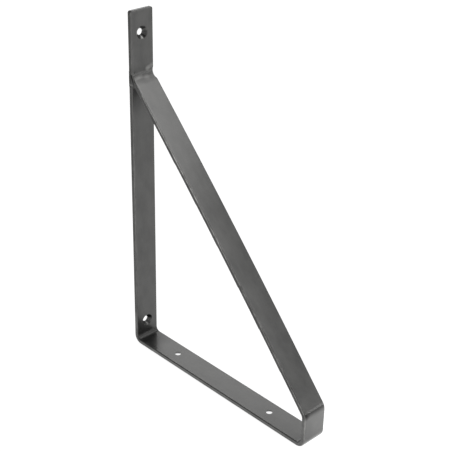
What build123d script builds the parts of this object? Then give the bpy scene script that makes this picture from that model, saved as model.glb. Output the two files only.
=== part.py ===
from build123d import *
import math
import os

# A wall bracket for a thick shelf board, folded from one length of flat steel bar.
# X points away from the wall, Y runs across the bar and Z points up. The functions
# draw it standing on Z = 0, and the last one moves it down, so that its origin is on
# the wall plane midway between the two wall screws.

# Flat bar
bar_width = 30.0
bar_thickness = 5.0
mill_edge_radius = 1.2

# Overall size. The lip and the upper end are measured to the sloping brace's
# corners on the faces that look away from the wall
height = 400.0
reach = 272.0
lip_height = 41.5
upper_end_length = 69.6
brace_bow = 2.6

# Bends: the hollow side's radius. The full side's radius is one bar thickness more
corner_bend_radius = 5.0
lip_bend_radius = 6.0
nose_bend_radius = 7.0
top_bend_radius = 12.6

# The upright is cut square just under the top fold and welded to it there
upright_gap = 8.85
weld_side_inset = 0.35
weld_toe_drop = 1.2
weld_sag = 0.5

# Corners of the upper end, and the hollows ground into the top fold's front edges
end_corner_radius = 2.5
edge_hollow_radius = 9.0
near_hollow_depth = 1.25
far_hollow_depth = 2.1
hollow_share_of_fold = 0.72

# Countersunk screw holes: two into the wall, two up into the shelf board
screw_hole_diameter = 7.0
screw_head_diameter = 14.0
countersink_angle = 90.0
wall_hole_margin = 25.0
shelf_hole_wall_margin = 60.0
shelf_hole_front_margin = 64.0
tool_overrun = 1.0

# Worked out from the sizes above
brace_top_height = height - upper_end_length
brace_run = reach - bar_thickness
brace_rise = brace_top_height - lip_height
brace_angle = math.atan2(brace_run, brace_rise)
corner_shift = bar_thickness * math.tan(brace_angle / 2)
inner_lip_height = lip_height - corner_shift
back_top_height = brace_top_height - corner_shift
upright_height = back_top_height - upright_gap
fold_start_height = brace_top_height + top_bend_radius * math.tan(brace_angle / 2)
across_brace_x = math.cos(brace_angle)
across_brace_z = math.sin(brace_angle)
wall_hole_heights = [wall_hole_margin, height - wall_hole_margin]
shelf_hole_reaches = [shelf_hole_wall_margin, reach - shelf_hole_front_margin]


def bowed_middle(start, end):
    """The middle of a brace face, which bows away from the wall."""
    middle_x = (start[0] + end[0]) / 2 + brace_bow * across_brace_x
    middle_z = (start[1] + end[1]) / 2 + brace_bow * across_brace_z
    return (middle_x, middle_z)


def rounded(outline, corner, radius):
    """The same outline with the corner nearest to a point rounded off."""
    nearest = outline.vertices().sort_by_distance((corner[0], corner[1], 0))[0]
    return fillet(nearest, radius)


def bar_outline():
    """Side view of the folded bar, drawn flat with the height running up the sheet."""
    t = bar_thickness
    lip_outside = (reach, lip_height)
    lip_inside = (reach - t, inner_lip_height)
    fold_front = (t, brace_top_height)
    fold_back = (0, back_top_height)
    outside = Polyline((0, upright_height), (0, 0), (reach, 0), lip_outside)
    brace_front = ThreePointArc(lip_outside, bowed_middle(lip_outside, fold_front), fold_front)
    upper_end = Polyline(fold_front, (t, height), (0, height), fold_back)
    brace_back = ThreePointArc(fold_back, bowed_middle(fold_back, lip_inside), lip_inside)
    inside = Polyline(lip_inside, (reach - t, t), (t, t), (t, upright_height), (0, upright_height))
    outline = make_face([outside, brace_front, upper_end, brace_back, inside])
    folds = [
        ((t, t), (0, 0), corner_bend_radius),
        ((reach - t, t), (reach, 0), lip_bend_radius),
        (lip_inside, lip_outside, nose_bend_radius),
        (fold_front, fold_back, top_bend_radius),
    ]
    for hollow_corner, full_corner, radius in folds:
        outline = rounded(outline, hollow_corner, radius)
        outline = rounded(outline, full_corner, radius + t)
    return outline


def across_the_bar(outline, width):
    """Stand a side view upright and give it its width, half on each side of Y = 0."""
    return extrude(Rotation(90, 0, 0) * outline, amount=width / 2, both=True)


def folded_bar():
    """The bar with its folds, the rounded corners of its upper end and soft rolled edges."""
    bar = across_the_bar(bar_outline(), bar_width)
    end_corners = bar.edges().filter_by(Axis.X).group_by(Axis.Z)[-1]
    bar = fillet(end_corners, end_corner_radius)
    flat_sides = bar.faces().filter_by(Axis.Y)
    return fillet(flat_sides.edges(), mill_edge_radius)


def weld():
    """Weld metal that fills the wedge between the upright's end and the fold above it."""
    t = bar_thickness
    toe_height = upright_height - weld_toe_drop
    brace_toe_x = (back_top_height - upright_height) * math.tan(brace_angle)
    upright_toe = (t, toe_height)
    brace_toe = (brace_toe_x, upright_height)
    sag_point = ((t + brace_toe_x) / 2, (toe_height + upright_height) / 2 - weld_sag)
    inside_brace = (brace_toe_x + across_brace_x * t / 2, upright_height + across_brace_z * t / 2)
    throat = ThreePointArc(upright_toe, sag_point, brace_toe)
    rest = Polyline(
        brace_toe,
        inside_brace,
        (t / 2, fold_start_height),
        (0, fold_start_height),
        (0, toe_height),
        upright_toe,
    )
    return across_the_bar(make_face([throat, rest]), bar_width - 2 * weld_side_inset)


def screw_hole():
    """Cutter for one countersunk hole: the head's face is at Z = 0 and the screw runs down."""
    head_radius = screw_head_diameter / 2
    hole_radius = screw_hole_diameter / 2
    sink_depth = (head_radius - hole_radius) / math.tan(math.radians(countersink_angle / 2))
    clearance_above = Pos(0, 0, tool_overrun / 2) * Cylinder(head_radius, tool_overrun)
    sink = Pos(0, 0, -sink_depth / 2) * Cone(hole_radius, head_radius, sink_depth)
    length = bar_thickness + tool_overrun
    bore = Pos(0, 0, -length / 2) * Cylinder(hole_radius, length)
    return clearance_above + sink + bore


def screw_holes():
    """Wall holes sunk from the front, and shelf holes sunk from below."""
    facing_out = [Pos(bar_thickness, 0, z) * Rot(0, 90, 0) for z in wall_hole_heights]
    facing_down = [Pos(x, 0, 0) * Rot(180, 0, 0) for x in shelf_hole_reaches]
    return [place * screw_hole() for place in facing_out + facing_down]


def edge_hollow(side, depth):
    """Ball that hollows one front edge of the top fold; side is -1 or 1 along Y."""
    angle = brace_angle * hollow_share_of_fold
    edge_x = bar_thickness + top_bend_radius * (1 - math.cos(angle))
    edge_z = fold_start_height - top_bend_radius * math.sin(angle)
    stand_off = (edge_hollow_radius - depth) / math.sqrt(2)
    ball_x = edge_x + stand_off * math.cos(angle)
    ball_z = edge_z + stand_off * math.sin(angle)
    ball_y = side * (bar_width / 2 + stand_off)
    return Pos(ball_x, ball_y, ball_z) * Sphere(edge_hollow_radius)


def bracket():
    """The whole bracket as one solid, with its origin midway between the wall screws."""
    body = folded_bar() + weld()
    hollows = [edge_hollow(-1, near_hollow_depth), edge_hollow(1, far_hollow_depth)]
    origin_height = sum(wall_hole_heights) / 2
    return Pos(0, 0, -origin_height) * (body - screw_holes() - hollows)


if __name__ == "__main__":
    os.makedirs("parts", exist_ok=True)
    shelf_bracket = bracket()
    print("solids", len(shelf_bracket.solids()), "valid", shelf_bracket.is_valid)
    print("volume cm3", round(shelf_bracket.volume / 1000, 2), shelf_bracket.bounding_box())
    export_step(shelf_bracket, "parts/shelf_bracket.step")
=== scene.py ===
# %% [markdown]
# A shelf bracket folded from one length of flat steel bar. The solid already has
# every fold, hole and rounded edge in its true place and size, so this lesson gives
# it what a solid lacks: the skin of hot-rolled steel, the marks of its folding and
# welding, and the soft light of a studio table.

# %% Load the solid and keep its box
import math
import bpy
from mathutils import Matrix, Vector


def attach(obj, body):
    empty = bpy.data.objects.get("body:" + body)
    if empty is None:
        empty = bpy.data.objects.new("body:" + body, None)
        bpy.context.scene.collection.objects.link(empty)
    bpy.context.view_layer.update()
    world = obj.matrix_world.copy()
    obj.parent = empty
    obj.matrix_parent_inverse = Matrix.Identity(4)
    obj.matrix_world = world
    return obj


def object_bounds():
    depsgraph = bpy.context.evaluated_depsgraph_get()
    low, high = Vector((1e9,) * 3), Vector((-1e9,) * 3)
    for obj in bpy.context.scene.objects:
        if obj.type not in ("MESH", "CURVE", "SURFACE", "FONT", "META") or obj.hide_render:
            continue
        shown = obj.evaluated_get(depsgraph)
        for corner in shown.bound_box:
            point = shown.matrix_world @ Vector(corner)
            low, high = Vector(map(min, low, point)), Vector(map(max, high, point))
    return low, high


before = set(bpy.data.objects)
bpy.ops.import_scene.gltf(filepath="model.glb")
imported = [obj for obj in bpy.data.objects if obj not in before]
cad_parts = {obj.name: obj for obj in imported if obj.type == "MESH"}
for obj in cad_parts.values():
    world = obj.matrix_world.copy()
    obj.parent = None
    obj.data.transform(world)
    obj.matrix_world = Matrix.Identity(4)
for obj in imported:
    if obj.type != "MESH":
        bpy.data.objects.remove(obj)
solid_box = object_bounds()
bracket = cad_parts["shelf_bracket"]
print("solid box in metres:", solid_box)

# %% [markdown]
# Shader maths reads best as plain expressions. A small class wraps a socket, and
# each operator on it adds one Math node, so that a + b * c builds the same nodes
# that one would otherwise drag in by hand. Every other node comes from one method,
# which sets the node up and then fills its sockets.

# %% A socket that can be used in expressions
class Value:
    def __init__(self, tree, socket):
        self.tree = tree
        self.socket = socket

    def math(self, operation, other=None):
        inputs = [self] if other is None else [self, other]
        return make(self.tree, "ShaderNodeMath", {"operation": operation}, inputs)

    def __add__(self, other):
        return self.math("ADD", other)

    def __sub__(self, other):
        return self.math("SUBTRACT", other)

    def __mul__(self, other):
        return self.math("MULTIPLY", other)

    def __neg__(self):
        return self.math("MULTIPLY", -1.0)

    def __rsub__(self, other):
        return make(self.tree, "ShaderNodeMath", {"operation": "SUBTRACT"}, [other, self])

    __radd__ = __add__
    __rmul__ = __mul__


# %% One method that makes any other node
def make(tree, kind, settings=None, inputs=(), output=0):
    """Add a node, set it up, and wrap one of its outputs."""
    node = tree.nodes.new(kind)
    for name, value in (settings or {}).items():
        setattr(node, name, value)
    pairs = inputs.items() if isinstance(inputs, dict) else enumerate(inputs)
    for key, value in pairs:
        if isinstance(value, Value):
            tree.links.new(value.socket, node.inputs[key])
        else:
            node.inputs[key].default_value = value
    return Value(tree, node.outputs[output])


# %% [markdown]
# Hot-rolled bar leaves the mill with a dark, faintly glossy oxide skin. It is not
# one flat grey: it has soft clouds a few centimetres long, thin drawn lines that run
# the way the bar was rolled, and a fine grain. The skin could be painted as a picture,
# but patterns worked out from the place on the bar need no unwrapping and stay sharp.

# %% Start the steel
steel = bpy.data.materials.new("dark_rolled_steel")
steel.use_nodes = True
tree = steel.node_tree
skin = tree.nodes["Principled BSDF"]
place = make(tree, "ShaderNodeTexCoord", output="Object")
facing = make(tree, "ShaderNodeTexCoord", output="Normal")
print("steel started with", len(tree.nodes), "nodes")

# %% Clouds, drawn lines and fine grain
def noise(point, stretch, scale, detail, roughness):
    """Smooth random cloudiness, drawn out along the axes by a stretch."""
    stretched = make(point.tree, "ShaderNodeMapping", {}, {0: point, 3: stretch})
    return make(point.tree, "ShaderNodeTexNoise", {}, {0: stretched, 2: scale, 3: detail, 4: roughness})


clouds = noise(place, (1.0, 1.6, 1.0), 45.0, 3.0, 0.55)
lines = noise(place, (6.0, 900.0, 6.0), 1.0, 2.0, 0.5)
grain = noise(place, (1.0, 1.0, 1.0), 900.0, 2.0, 0.6)
print("patterns made:", len(tree.nodes), "nodes")

# %% [markdown]
# Both rolled edges are a little brighter, partly where handling rubbed them and partly
# as a painted highlight. The near edge was stacked and dragged on, so the skin beside it
# is worn in broken streaks, which also carry a painted highlight. Along the near rounded
# edge, where the bar stands off the wall, runs a painted highlight line that grows
# brighter higher up. The flat near side of the upright and brace is painted darker, as
# painted shade. A mask that climbs with the place on the bar, or with the way the skin
# faces, picks out each of these.

# %% Rubbed edges with a painted highlight
def axis(point, letter):
    """One coordinate of a point or a direction."""
    return make(point.tree, "ShaderNodeSeparateXYZ", inputs=[point], output=letter)


def rise(value, low, high):
    """A mask that climbs smoothly from 0 at low to 1 at high."""
    settings = {"interpolation_type": "SMOOTHSTEP"}
    return make(value.tree, "ShaderNodeMapRange", settings, {0: value, 1: low, 2: high})


sideways = axis(facing, "Y").math("ABSOLUTE")
# painted highlight: both rounded edges lightened, partly as real rubbing
edges_worn_and_sheen = rise(sideways, 0.15, 0.45) * rise(1 - sideways, 0.05, 0.3)
print("edges found:", len(tree.nodes), "nodes")

# %% Worn streaks with a painted highlight, and painted shade on the near side
toward_near = -axis(place, "Y")
height = axis(place, "Z")
dashes = noise(place, (130.0, 700.0, 130.0), 1.0, 2.0, 0.5)
# worn streaks by the near edge, partly a painted highlight
worn_and_sheen = rise(toward_near, 0.0105, 0.0145) * rise(dashes, 0.35, 0.65)
# painted shade: the flat near side of upright and brace darkened
painted_side_shade = rise(sideways, 0.85, 0.97) * rise(toward_near, 0.0, 0.01) * rise(height, -0.168, -0.156)
print("near side worn:", len(tree.nodes), "nodes")

# %% Painted highlight along the near edge
forward = axis(place, "X")
frontward = axis(facing, "X")
# painted highlight: a bright line along the near rounded edge, off the wall, brighter higher up
near_round = rise(toward_near, 0.0137, 0.0144) * (1 - rise(sideways, 0.96, 0.999))
off_the_wall = rise(forward, 0.010, 0.030) * rise(frontward, -0.1, 0.25)
brightness = (rise(height, -0.09, 0.06) * 1.3 + 0.8) * (rise(dashes, 0.3, 0.7) * 0.7 + 0.6)
painted_highlight = near_round * off_the_wall * brightness
print("near edge rubbed:", len(tree.nodes), "nodes")

# %% [markdown]
# The other marks are where something happened to the bar, so two masks pick out a
# place. A spot is an ellipsoid round a centre, and a streak follows a line between
# two points. Each is 1 inside its core and fades out. Places are in metres: the wall
# is at X = 0, the middle of the bar's width at Y = 0, and Z = 0 is midway between
# the two wall screws.

# %% Masks that pick out one place
def vector(operation, inputs, output=0):
    """One Vector Math node in the tree of its first input."""
    return make(inputs[0].tree, "ShaderNodeVectorMath", {"operation": operation}, inputs, output)


def spot(point, centre, radii, core=0.35):
    """1 inside an ellipsoid round a centre, fading to 0 at its surface."""
    scaled = vector("DIVIDE", [vector("SUBTRACT", [point, centre]), radii])
    return 1 - rise(vector("LENGTH", [scaled], "Value"), core, 1.0)


def streak(point, start, end, core, reach):
    """1 along a straight line between two points, fading to 0 at a distance from it."""
    run = Vector(end) - Vector(start)
    offset = vector("SUBTRACT", [point, start])
    share = vector("DOT_PRODUCT", [offset, tuple(run)], "Value") * (1 / run.length_squared)
    share = share.math("MAXIMUM", 0.0).math("MINIMUM", 1.0)
    shares = make(point.tree, "ShaderNodeCombineXYZ", {}, [share, share, share])
    foot = vector("MULTIPLY", [shares, tuple(run)])
    return 1 - rise(vector("DISTANCE", [offset, foot], "Value"), core, reach)


# %% [markdown]
# The top fold was welded hot and then dressed with a grinder. The heat left the side
# above the weld dark. Three lighter smudges on the fold are grinder marks with a painted
# highlight, a painted lift lightens the whole fold, and a painted highlight lies on the
# bead's near side. Painted shade draws a thin dark line in the gap at the near side
# between the fold and the weld metal and a dark dot in a pit, and a wide painted shadow
# falls on the upright's front face under the brace.

# %% Heat, and painted shade in the gap, in a pit and under the brace
thickness = 0.005
near_side = solid_box[0][1]
heat = spot(place, (0.0015, near_side - 0.0005, 0.1275), (0.0045, 0.0022, 0.0085))
# painted shade: thin dark line in the gap between fold and weld metal
gap_shade = streak(place, (0.0042, -0.0152, 0.1315), (0.0085, -0.0152, 0.1195), 0.0005, 0.0014)
# painted shade: dark dot in a pit by the near edge
pit_shade = spot(place, (0.0045, -0.0115, 0.1335), (0.0016, 0.0012, 0.0018))
# painted shadow: the upright's front face darkened under the brace
brace_shadow = spot(place, (thickness, -0.0060, 0.1080), (0.004, 0.0170, 0.0240), 0.1)
print("near side at", near_side, "after heat and soot:", len(tree.nodes), "nodes")

# %% Where the fold was dressed, with painted highlights
fold_height = 0.1292
upright_end = 0.1196
# grinder smudges on the fold, each partly a painted highlight
far_smudge = streak(place, (thickness, 0.0060, 0.1352), (thickness, 0.0130, 0.1374), 0.0005, 0.0036)
mid_smudge = spot(place, (0.0085, 0.0025, 0.1268), (0.006, 0.0052, 0.0042), 0.1)
near_smudge = streak(place, (0.0080, -0.0138, 0.1272), (0.0067, -0.0038, fold_height), 0.0004, 0.0027)
# painted light: a lift over the whole fold
painted_fold_lift = streak(place, (0.0066, -0.0080, fold_height), (0.0066, 0.0120, fold_height), 0.0015, 0.0044)
# painted highlight on the bead's near side
bead_highlight = spot(place, (0.003, near_side, upright_end + 0.0009), (0.0050, 0.0022, 0.0016), 0.3)
smudges = far_smudge * 1.2 + mid_smudge * 0.5 + near_smudge * 0.7
dressed_and_highlights = smudges + bead_highlight * 2.0 + painted_fold_lift * 0.3
fold = spot(place, (0.006, 0.0, 0.1310), (0.014, 0.040, 0.0120), 0.4)
print("fold dressed at height", fold_height, "above the end of the upright at", upright_end)

# %% [markdown]
# Painted shade darkens the inside of the folds: the inner corner at the wall and the
# line of its fold, the throats of the countersinks, and the crease under the nose, most
# of all toward the near side, with a dark painted stripe down the lip's near side. Each
# countersink also has one painted highlight, a bright glint low down.

# %% Painted shade in the bottom corner
corner_height = -0.195
inside_near = (0.0062, -0.016, corner_height + 0.0012)
inside_far = (0.0062, 0.016, corner_height + 0.0012)
# painted shade along the inner line of the bottom fold
inside_fold_shade = streak(place, inside_near, inside_far, 0.0012, 0.0045)
# painted shade: the inner corner at the wall darkened
corner = spot(place, (0.008, -0.005, corner_height - 0.002), (0.034, 0.036, 0.025), 0.3)
print("corner darkened at height", corner_height)

# %% Painted shade in the crease under the nose
nose_front = solid_box[1][0]
crease_height = -0.158
crease_near = (nose_front, -0.016, crease_height)
crease_far = (nose_front, 0.010, crease_height)
# painted shade: the crease under the nose darkened, most at the near end
crease_shade = streak(place, crease_near, crease_far, 0.0010, 0.0040)
crease_end_shade = spot(place, (nose_front, -0.0125, crease_height - 0.001), (0.006, 0.0065, 0.0062), 0.1)
# painted shade: a dark stripe down the lip's near side
lip_stripe_shade = streak(place, (nose_front, -0.0127, -0.160), (nose_front, -0.0127, -0.186), 0.0004, 0.0019)
print("crease darkened", nose_front, "from the wall at height", crease_height)

# %% Painted shade rings and painted glints of the two countersinks
wall_hole_height = 0.175
ring_radii = (0.0045, 0.0052, 0.0062)
glint_radii = (0.0035, 0.0017, 0.0018)
glint_drop = 0.0052
# painted shade: dark rings in the countersinks' throats
top_ring_shade = spot(place, (thickness, 0.0030, wall_hole_height - 0.001), ring_radii, 0.6)
low_ring_shade = spot(place, (thickness, 0.0030, -wall_hole_height + 0.001), ring_radii, 0.6)
# painted highlight: a bright glint low in each countersink
top_glint = spot(place, (0.0040, 0.0012, wall_hole_height - glint_drop), glint_radii, 0.2)
low_glint = spot(place, (0.0040, 0.0012, -wall_hole_height - glint_drop), glint_radii, 0.2)
ring_shade = top_ring_shade + low_ring_shade
painted_glints = top_glint + low_glint * 0.4
print("marks added:", len(tree.nodes), "nodes")

# %% [markdown]
# The marks now meet in the skin's colour. Wear, dressing and painted highlights lift it;
# heat and painted shade take a share off it.

# %% Colour
def dimmed(value, marks):
    """A value with each mark's share taken off it in turn."""
    for mark, share in marks:
        value = (1 - mark * share) * value
    return value


oxide = (0.0555, 0.0555, 0.0545, 1)
worn_oxide = (0.096, 0.0955, 0.093, 1)
shade = (clouds - 0.5) * 0.9 + (lines - 0.5) * 0.12 + (grain - 0.5) * 0.1 + edges_worn_and_sheen * 0.12 + 0.5
colour_inputs = {0: rise(shade, 0.0, 1.0), 6: oxide, 7: worn_oxide}
colour = make(tree, "ShaderNodeMix", {"data_type": "RGBA"}, colour_inputs, output=2)
# wear, grinder smudges and painted highlights lift the colour
lifted = 1 + dressed_and_highlights * 0.9 + worn_and_sheen * 0.35 + painted_glints * 3.0 + painted_highlight
# heat tint and painted shade take a share off it
dark_marks = [
    (heat, 0.5), (gap_shade, 0.85), (pit_shade, 0.6), (brace_shadow, 0.3), (painted_side_shade, 0.38), (corner, 0.15),
    (inside_fold_shade, 0.3), (crease_shade, 0.25), (crease_end_shade, 0.5), (lip_stripe_shade, 0.2), (ring_shade, 0.6),
]
level = dimmed(lifted, dark_marks)
tone = make(tree, "ShaderNodeVectorMath", {"operation": "SCALE"}, {0: colour, 3: level})
tree.links.new(tone.socket, skin.inputs["Base Color"])
print("marks that darken the skin:", len(dark_marks))

# %% [markdown]
# The oxide is a half-gloss metal, and a film of oil lies over it like a thin clear
# coat. The film gives the crisp lines of light along the folds. It burnt off round
# the weld and is thin in the corner, the crease and the countersinks.

# %% Gloss and oil film
uneven = (clouds - 0.5) * 0.10 + (lines - 0.5) * 0.06 + (grain - 0.5) * 0.06 - edges_worn_and_sheen * 0.05
gloss = uneven + fold * 0.06 + corner * 0.08 + 0.34
tree.links.new(gloss.socket, skin.inputs["Roughness"])
skin.inputs["Metallic"].default_value = 1.0
film_weight = 0.5
thin_places = [
    (fold, 0.6), (painted_side_shade, 0.55), (gap_shade, 0.9), (heat, 0.6), (corner, 0.4), (inside_fold_shade, 0.4),
    (crease_end_shade, 0.6), (ring_shade, 0.5),
]
film = dimmed(film_weight, thin_places)
tree.links.new(film.socket, skin.inputs["Coat Weight"])
skin.inputs["Coat Roughness"].default_value = 0.16
print("places where the oil film is thin:", len(thin_places))

# %% [markdown]
# Rolled bar is never quite flat. Its face is crowned by a few tenths of a millimetre,
# which spreads the light softly across the width, and the fold is a little dented.

# %% Crown, tooth and dents
crown_height = 0.0003
half_width = solid_box[1][1]
crown = toward_near * toward_near * (-crown_height / half_width ** 2)
dents = noise(place, (1.0, 1.0, 1.0), 150.0, 2.0, 0.5)
relief = crown + lines * 0.000004 + grain * 0.000003 + dents * fold * 0.0006
bump = make(tree, "ShaderNodeBump", {}, {"Strength": 1.0, "Distance": 1.0, "Height": relief})
tree.links.new(bump.socket, skin.inputs["Normal"])
bracket.data.materials.clear()
bracket.data.materials.append(steel)
print("steel nodes:", len(tree.nodes))

# %% [markdown]
# A weld bead is a row of puddles, each laid over the edge of the one before. Its
# ripples could be a bump in the steel, but they show in the bead's outline, so the
# bead is made as it was laid: flattened balls in a row, joined and then melted
# together by a voxel remesh. One run closes the end of the upright on the inside, and a short one
# shows on its near side.

# %% Weld bead at the upright's end
def puddle(centre, radii):
    """One flattened ball of weld metal."""
    bpy.ops.mesh.primitive_uv_sphere_add(segments=24, ring_count=12, radius=1.0, location=centre)
    ball = bpy.context.object
    ball.scale = radii
    return ball


bpy.ops.object.select_all(action="DESELECT")
balls = []
inner_puddles = 17
inner_step = 0.0017
for number in range(inner_puddles):
    wobble = math.sin(number * 2.4)
    seat = (0.0066 + 0.0003 * wobble, -0.0136 + number * inner_step, 0.1190 + 0.00015 * wobble)
    balls.append(puddle(seat, (0.0019, 0.00125 + 0.0001 * wobble, 0.0012)))
side_puddles = 5
side_step = 0.00115
for number in range(side_puddles):
    wobble = math.sin(number * 1.9)
    seat = (0.0014 + number * side_step, -0.0141, 0.1200 + number * 0.0002 + 0.0002 * wobble)
    balls.append(puddle(seat, (0.0010, 0.00082, 0.0011 + 0.00025 * wobble)))
print("puddles laid:", len(balls))

# %% Melt the puddles into one bead
for ball in balls:
    ball.select_set(True)
bpy.context.view_layer.objects.active = balls[0]
bpy.ops.object.join()
bpy.ops.object.transform_apply(location=True, rotation=True, scale=True)
bead = bpy.context.object
bead.name = "weld_bead"
melt = bead.modifiers.new("melt", "REMESH")
melt.mode = "VOXEL"
melt.voxel_size = 0.00018
bpy.ops.object.modifier_apply(modifier="melt")
bpy.ops.object.shade_smooth()
bead.data.materials.append(steel)
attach(bead, "root")
print("weld bead faces:", len(bead.data.polygons), "origin", tuple(bead.location))

# %% [markdown]
# The bracket stands on a pale table. A plain white one would need so much light that
# the steel burns out, so the table glows by itself, like the sheet of a light table.
# Two brighter pools in it, before the lip and toward the camera, are seen only
# in the steel, where they light the lip's front and draw the near edges.

# %% Table
floor_height = solid_box[0][2]
table_width = 12.0
middle = Vector((0.135, 0.0, 0.0))
bpy.ops.object.select_all(action="DESELECT")
bpy.ops.mesh.primitive_plane_add(size=table_width, location=(middle.x, middle.y, floor_height))
table = bpy.context.object
table.name = "pale_table"
paper = bpy.data.materials.new("pale_paper")
paper.use_nodes = True
paper_skin = paper.node_tree.nodes["Principled BSDF"]
paper_skin.inputs["Base Color"].default_value = (0.25, 0.25, 0.25, 1.0)
paper_skin.inputs["Roughness"].default_value = 0.9
paper_skin.inputs["Specular IOR Level"].default_value = 0.2
spread = make(paper.node_tree, "ShaderNodeTexCoord", output="Object")
front_pool = spot(spread, (0.205, 0.055, 0.0), (0.12, 0.12, 1.0), 0.3)
edge_pool = spot(spread, (0.33, -0.22, 0.0), (0.34, 0.24, 1.0), 0.5)
glow = 1 + front_pool * 0.7 + edge_pool * 1.0
paper.node_tree.links.new(glow.socket, paper_skin.inputs["Emission Color"])
paper_skin.inputs["Emission Strength"].default_value = 0.92
table.data.materials.append(paper)
print("table at height", floor_height)

# %% [markdown]
# Studio light: big softboxes behind the bracket and to its right give the smooth
# bands of light that make bent steel readable. A box and a low strip by the camera
# fill its near edges, and the room beyond them is a calm grey. Small lamps would give
# hard sparks on the folds, so every lamp is wide.

# %% Lights
lamp_distance = 2.2


def softbox(name, azimuth, elevation, width, tall, radiance):
    """A rectangular lamp that faces the bracket from a compass direction and a height."""
    flat = math.cos(math.radians(elevation)) * lamp_distance
    turn = math.radians(azimuth)
    lift = lamp_distance * math.sin(math.radians(elevation))
    offset = Vector((flat * math.cos(turn), flat * math.sin(turn), lift))
    lamp = bpy.data.lights.new(name, "AREA")
    lamp.shape = "RECTANGLE"
    lamp.size = width
    lamp.size_y = tall
    lamp.energy = math.pi * width * tall * radiance
    holder = bpy.data.objects.new(name, lamp)
    bpy.context.scene.collection.objects.link(holder)
    holder.location = middle + offset
    holder.rotation_euler = (-offset).to_track_quat("-Z", "Y").to_euler()
    print("softbox", name, "at", tuple(round(v, 2) for v in holder.location))


softbox("overhead_box", azimuth=57.0, elevation=52.0, width=1.7, tall=0.8, radiance=2.52)
softbox("right_box", azimuth=30.0, elevation=33.0, width=1.0, tall=0.5, radiance=1.08)
softbox("middle_box", azimuth=60.0, elevation=34.0, width=1.5, tall=0.5, radiance=0.47)
softbox("right_strip", azimuth=42.0, elevation=17.0, width=0.9, tall=0.35, radiance=1.40)
softbox("low_strip", azimuth=40.0, elevation=7.0, width=1.0, tall=0.25, radiance=4.16)
softbox("back_box", azimuth=137.0, elevation=32.0, width=1.4, tall=0.65, radiance=1.84)
softbox("back_strip", azimuth=140.0, elevation=15.0, width=1.2, tall=0.3, radiance=1.29)
softbox("camera_fill", azimuth=305.0, elevation=32.0, width=1.2, tall=1.0, radiance=1.23)
softbox("front_strip", azimuth=307.0, elevation=9.0, width=1.0, tall=0.3, radiance=2.6)

# %% Grey room
room = bpy.data.worlds.new("grey_room")
room.use_nodes = True
backdrop = room.node_tree.nodes["Background"]
backdrop.inputs["Color"].default_value = (1.0, 1.0, 1.0, 1.0)
backdrop.inputs["Strength"].default_value = 0.35
bpy.context.scene.world = room
print("room strength", backdrop.inputs["Strength"].default_value)

# %% [markdown]
# The camera stands where the photographer stood: in front and to one side, looking
# down a little, far enough away that the bracket's lines hardly converge.

# %% Camera
camera_place = Vector((0.850221, -0.688717, 0.519988))
camera_aim = Vector((0.13545, 0.00011, 0.0009))
camera_roll = math.radians(1.156)
view = bpy.data.cameras.new("photo_camera")
view.sensor_width = 36.0
view.lens = 86.726
camera = bpy.data.objects.new("photo_camera", view)
bpy.context.scene.collection.objects.link(camera)
turn = (camera_aim - camera_place).to_track_quat("-Z", "Y").to_matrix().to_4x4()
camera.matrix_world = Matrix.Translation(camera_place) @ turn @ Matrix.Rotation(camera_roll, 4, "Z")
bpy.context.scene.camera = camera
bpy.context.scene.view_settings.view_transform = "Standard"
print("camera", tuple(round(v, 3) for v in camera_place))
